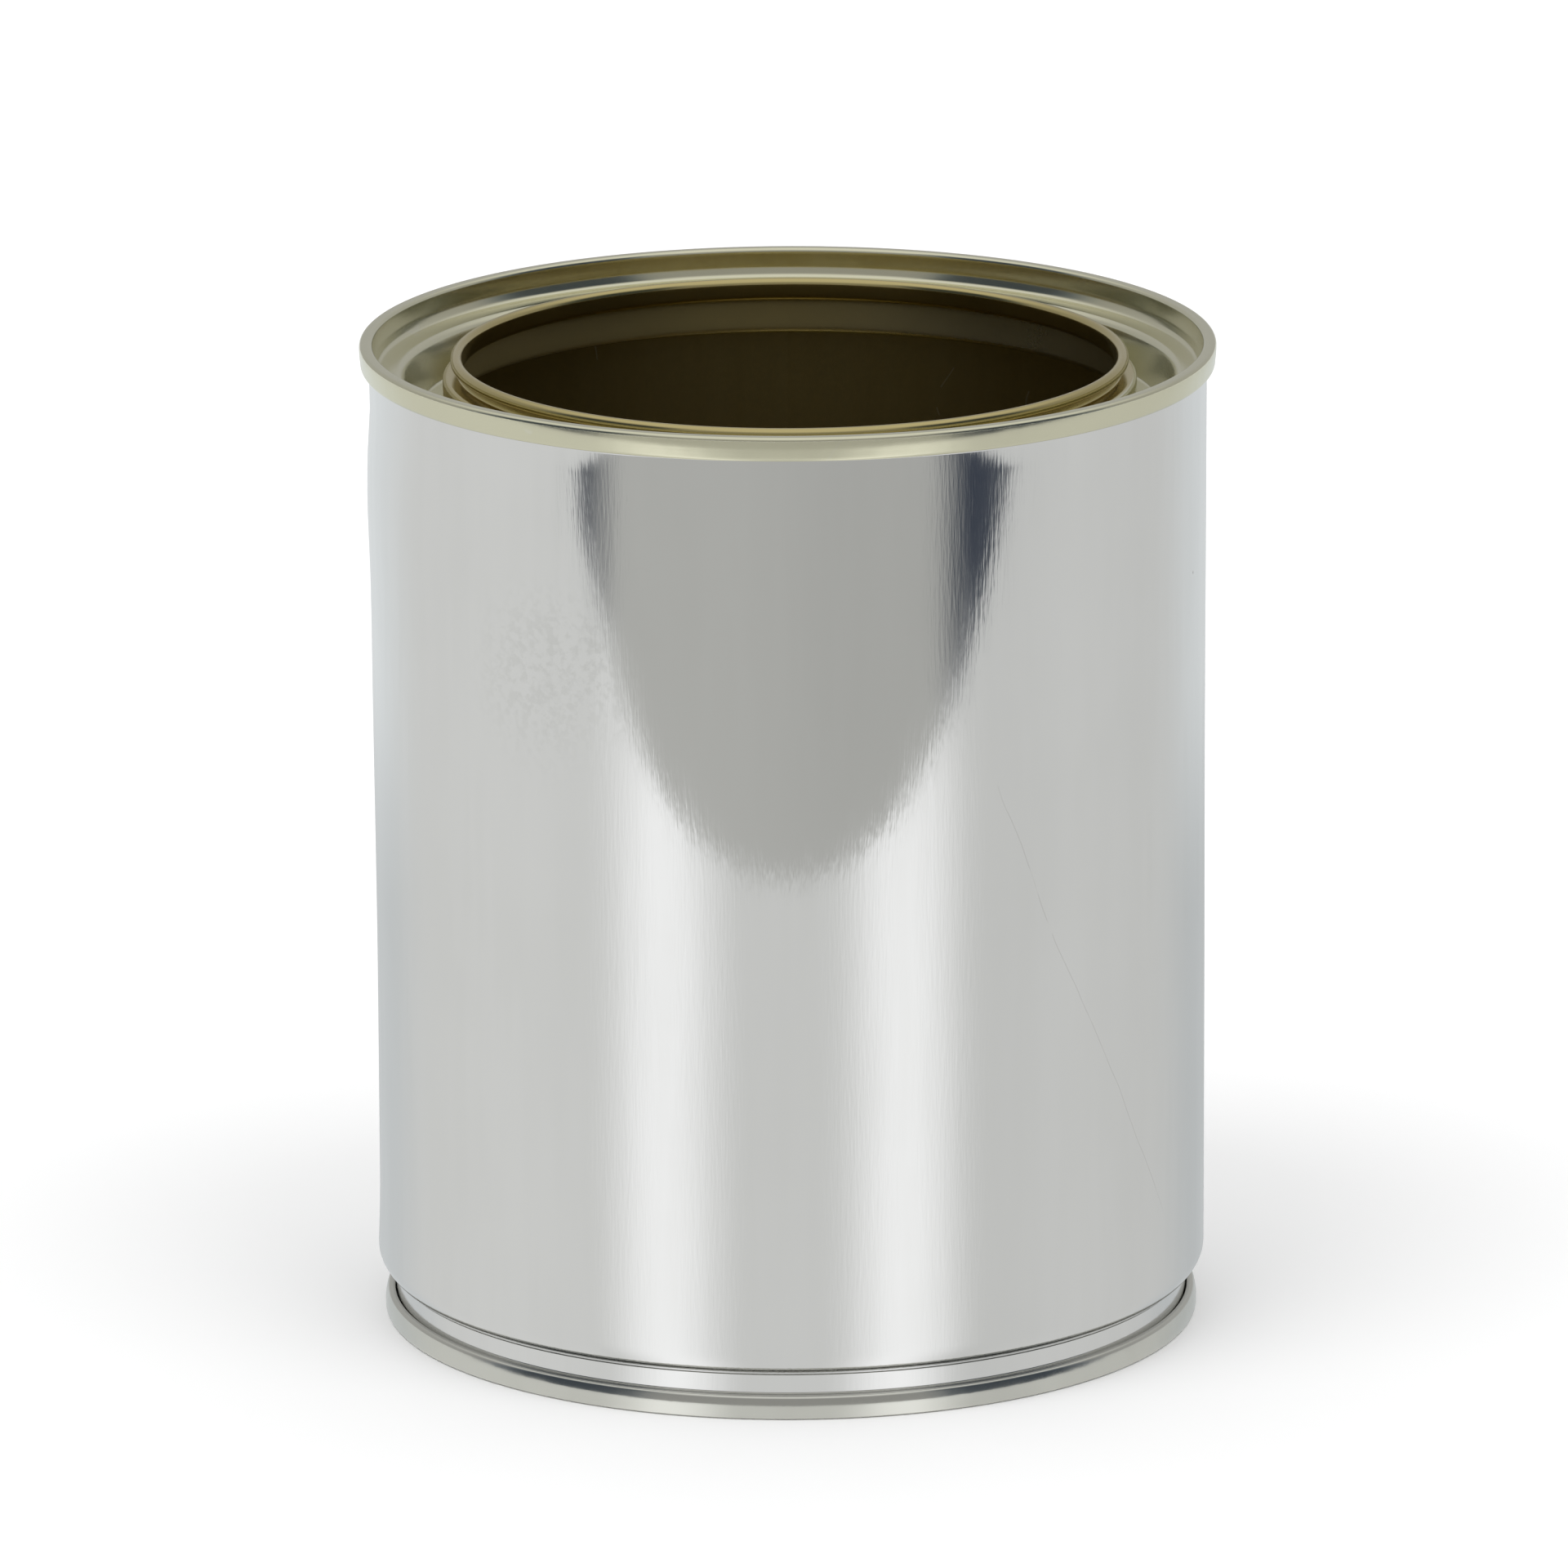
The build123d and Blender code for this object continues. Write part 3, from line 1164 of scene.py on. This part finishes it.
@dataclass(frozen=True)
class Reflector:
    """What the tin mirrors: the lit table top and the room past its edge.

    It lies just above the floor and only glossy rays meet it. Its brightness is a formula of
    the bearing round the can, 0 at the front, and of the distance to the table's front edge.

    Attributes:
        start: Radius of its hole, under the can, in metres.
        reach: Its outer radius.
        edge: The front edge's y straight before the can.
        bow_left: How far the edge comes forward on the left, in metres.
        bow_right: How fast it comes forward on the right, per metre.
        table: Radiance of the table.
        beam: What the middle of a beam adds to it.
        beam_left: Bearing of the left beam's middle in degrees.
        beam_right: The same of the right beam.
        room: Radiance of the grey stretch past the edge.
        gap: Radiance of the dark gaps beside it.
        gap_left: Bearings over which the left gap begins.
        gap_right: The same of the right gap.
    """

    start: float = 0.0488
    reach: float = 1.6
    edge: float = -0.2945
    bow_left: float = 0.0145
    bow_right: float = 0.19
    table: Colour = (0.710, 0.716, 0.702, 1.0)
    beam: float = 0.40
    beam_left: float = 36.0
    beam_right: float = 32.5
    room: Colour = (0.505, 0.508, 0.485, 1.0)
    gap: Colour = (0.042, 0.052, 0.074, 1.0)
    gap_left: Span = (46.5, 57.5)
    gap_right: Span = (39.0, 50.5)

    @staticmethod
    def sent_towards(x: Array, y: Array) -> Array:
        """Bearing in which the side wall mirrors a view from the front onto a floor point.

        The wall, of radius r, sends a view that meets it at bearing a on towards 2a. It reaches
        a floor point at distance R and bearing b when R sin(b - 2a) + r sin(a) = 0, and a lies
        between b / 2 and b, where halving finds it.
        """
        wall = BODY_RADIUS * MM
        bearing = np.abs(np.arctan2(x, -y))
        distance = np.maximum(np.hypot(x, y), wall + 0.0002)
        low, high = bearing / 2, bearing
        for _ in range(20):
            middle = (low + high) / 2
            short = distance * np.sin(bearing - 2 * middle) + wall * np.sin(middle) > 0.0
            low = np.where(short, middle, low)
            high = np.where(short, high, middle)
        return np.degrees(2.0 * low) * np.sign(x)

    def colours(self, x: Array, y: Array) -> Array:
        """Radiance at floor points.

        The table has two soft bright beams, each a smooth rise times a smooth fall over the
        bearing, a slightly darker stretch beside them, and a cool shade behind the can. Past
        the front edge, y = edge + bow x^2 on the right and a smooth step on the left, lies a
        grey stretch between two dark gaps.

        Args:
            x: Across the view, in metres.
            y: Along the view, in metres.

        Returns:
            One row of red, green, blue and alpha for each point.
        """
        bearing = self.sent_towards(x, y)
        away = np.abs(bearing)
        far = np.hypot(x, y)
        middle = np.where(bearing < 0.0, self.beam_left, self.beam_right)
        lobe = smooth(-24.0, -2.0, away - middle) * (1.0 - smooth(0.0, 22.0, away - middle))
        right = bearing > 0.0
        level = 1.0 + np.where(right, -0.06, 0.035) * smooth(40.0, 62.0, away)
        level += np.where(right, 0.04, 0.03) * bell(86.0, 20.0, away)
        behind = smooth(118.0, 152.0, away)
        near = 1.0 - smooth(0.20, 0.34, far)
        level -= behind * near * 0.12 - behind * (1.0 - near) * 0.10
        table = np.array(self.table)[None, :3] * level[:, None]
        table += self.beam * lobe[:, None] * np.array([1.0, 1.0, 1.03])
        cool = np.array([0.97, 1.0, 1.03])
        table *= 1.0 + behind[:, None] * (cool - 1.0)
        shade = 1.0 + 0.07 * smooth(0.12, -0.12, x) - 0.05
        room = np.array(self.room)[None, :3] * shade[:, None]
        gap = np.where(right, smooth(*self.gap_right, away), smooth(*self.gap_left, away))
        room = room * (1.0 - gap[:, None]) + np.array(self.gap)[None, :3] * gap[:, None]
        left_bow = self.bow_left * smooth(0.0, 0.26, np.abs(x))
        bow = np.where(right, self.bow_right * x * x, left_bow)
        front = smooth(self.edge + 0.004, self.edge - 0.004, y - bow)
        colour = table * (1.0 - front[:, None]) + room * front[:, None]
        return np.concatenate([colour, np.ones((len(x), 1))], axis=1)

    def place(self) -> None:
        """Lays the reflector: a polar grid whose rings close up towards the can."""
        rings, spokes, over_floor = 260, 360, 0.0001
        radii = self.start * (self.reach / self.start) ** np.linspace(0.0, 1.0, rings)
        angles = np.linspace(0.0, 2.0 * np.pi, spokes, endpoint=False)
        radius, angle = np.meshgrid(radii, angles, indexing="ij")
        flat = turned_points(radius, angle, 0.0 * radius + over_floor).reshape(-1, 3)
        upwards = grid_quads(rings, spokes, closed=False)[:, [0, 3, 2, 1]]
        card = linked_mesh("reflector", flat, upwards)
        layer = card.data.color_attributes.new("radiance", "FLOAT_COLOR", "POINT")
        layer.data.foreach_set("color", self.colours(flat[:, 0], flat[:, 1]).reshape(-1))
        card.data.materials.append(self._glow())
        for ray in ("camera", "diffuse", "shadow", "transmission", "volume_scatter"):
            setattr(card, f"visible_{ray}", False)

    @staticmethod
    def _glow() -> Material:
        """A plain emission of the mesh's own radiance."""
        material = bpy.data.materials.new("reflector_glow")
        material.use_nodes = True
        w = Wiring(material.node_tree)
        material.node_tree.nodes.clear()
        layer = w.add("ShaderNodeVertexColor", layer_name="radiance")
        glow = w.add("ShaderNodeEmission")
        out = w.add("ShaderNodeOutputMaterial")
        w.feed(glow.inputs["Color"], layer.outputs["Color"])
        w.feed(out.inputs["Surface"], glow.outputs[0])
        return material


@dataclass(frozen=True)
class Softbox:
    """A wide, far soft light, which only matt surfaces see.

    Attributes:
        place_at: Where it hangs; only its direction from the can counts.
        spread: Its width as seen from the can, in radians.
        power: Its strength on a surface that faces it.
    """

    name: str
    place_at: tuple[float, float, float]
    spread: float = 0.5
    power: float = 0.58

    def place(self) -> None:
        """Adds the light, turned towards the middle of the can."""
        lamp = bpy.data.lights.new(self.name, "SUN")
        lamp.angle = self.spread
        lamp.energy = self.power
        light = bpy.data.objects.new(self.name, lamp)
        aim = Vector((0.0, 0.0, 0.06)) - Vector(self.place_at)
        turn = aim.to_track_quat("-Z", "Y").to_matrix().to_4x4()
        light.matrix_world = Matrix.Translation(self.place_at) @ turn
        light.visible_glossy = False
        bpy.context.collection.objects.link(light)


@dataclass(frozen=True)
class Studio:
    """Pale floor, white surroundings and soft lights.

    Attributes:
        floor_size: Side of the floor in metres.
        white: Brightness of the surroundings as a background.
        fill: Brightness of the surroundings as a light on matt surfaces.
        front: Tone that gloss sees at the horizon in front.
        behind: The same behind the can.
        quarter_shade: How much darker that is at the two front quarters.
        warm: Tint of the horizon.
        cool: Tint of its front quarters.
        ceiling: Colour that gloss sees overhead.
    """

    floor_size: float = 6.0
    white: float = 1.0
    fill: float = 0.90
    front: float = 0.36
    behind: float = 0.46
    quarter_shade: float = 0.80
    warm: Colour = (1.0, 1.0, 0.98, 1.0)
    cool: Colour = (0.80, 0.98, 1.22, 1.0)
    ceiling: Colour = (0.84, 0.84, 0.82, 1.0)

    def floor(self) -> None:
        """Lays the floor, a matt near-white square."""
        half = self.floor_size / 2
        corners = [(-half, -half, 0.0), (half, -half, 0.0), (half, half, 0.0), (-half, half, 0.0)]
        floor = linked_mesh("floor", np.array(corners), np.array([(0, 1, 2, 3)]))
        material, _, shader = new_material("pale_floor")
        shader["Base Color"].default_value = (0.93, 0.93, 0.93, 1.0)
        shader["Roughness"].default_value = 0.9
        shader["Specular IOR Level"].default_value = 0.1
        floor.data.materials.append(material)

    def surroundings(self) -> None:
        """White to the eye and to matt surfaces; to gloss, a room of smooth tones.

        For glossy rays the tone at the horizon depends on the bearing: grey at the front, dark
        at both front quarters and brighter behind. It gives way to the bright ceiling with the
        ray's upward slope.
        """
        world = bpy.data.worlds.new("studio")
        bpy.context.scene.world = world
        world.use_nodes = True
        w = Wiring(world.node_tree)
        world.node_tree.nodes.clear()
        path = w.add("ShaderNodeLightPath")
        x, y, z = w.split(w.add("ShaderNodeTexCoord").outputs["Generated"])
        turned = w.maths("ABSOLUTE", w.bearing(x, y))
        quarter = w.times(w.ramp(turned, 0.68, 0.84), w.ramp(turned, 1.75, 1.40))
        level = w.ramp(turned, 1.3, 2.4, self.front, self.behind)
        level = w.times(level, w.linear(quarter, -self.quarter_shade, 1.0))
        rise = w.ramp(z, w.linear(quarter, 0.15, 0.40), 0.90)
        horizon = w.scaled(w.blend(quarter, self.warm, self.cool), level)
        gloss = w.blend(rise, horizon, self.ceiling)
        matt = w.ramp(path.outputs["Is Diffuse Ray"], 0.0, 1.0, self.white, self.fill)
        colour = w.blend(path.outputs["Is Glossy Ray"], w.joined(matt, matt, matt), gloss)
        back = w.add("ShaderNodeBackground")
        w.feed(back.inputs["Color"], colour)
        out = w.add("ShaderNodeOutputWorld")
        w.feed(out.inputs["Surface"], back.outputs[0])

    def build(self) -> None:
        """Sets up floor, surroundings, reflector, lights and camera."""
        self.floor()
        self.surroundings()
        Reflector().place()
        Softbox("softbox_left", (-0.46, -0.47, 1.30), power=0.61).place()
        Softbox("softbox_right", (0.46, -0.47, 1.30), power=0.45).place()
        Camera().place()
        scene = bpy.context.scene
        scene.view_settings.view_transform = "Standard"
        scene.cycles.glossy_bounces = 12
        scene.cycles.max_bounces = 14


def main() -> None:
    """Builds the studio and the can."""
    logging.basicConfig(level=logging.INFO, format="%(name)s %(message)s")
    Studio().build()
    pieces = Can(Patterns()).build()
    LOG.info("built %d pieces", len(pieces))


if __name__ == "__main__":
    main()
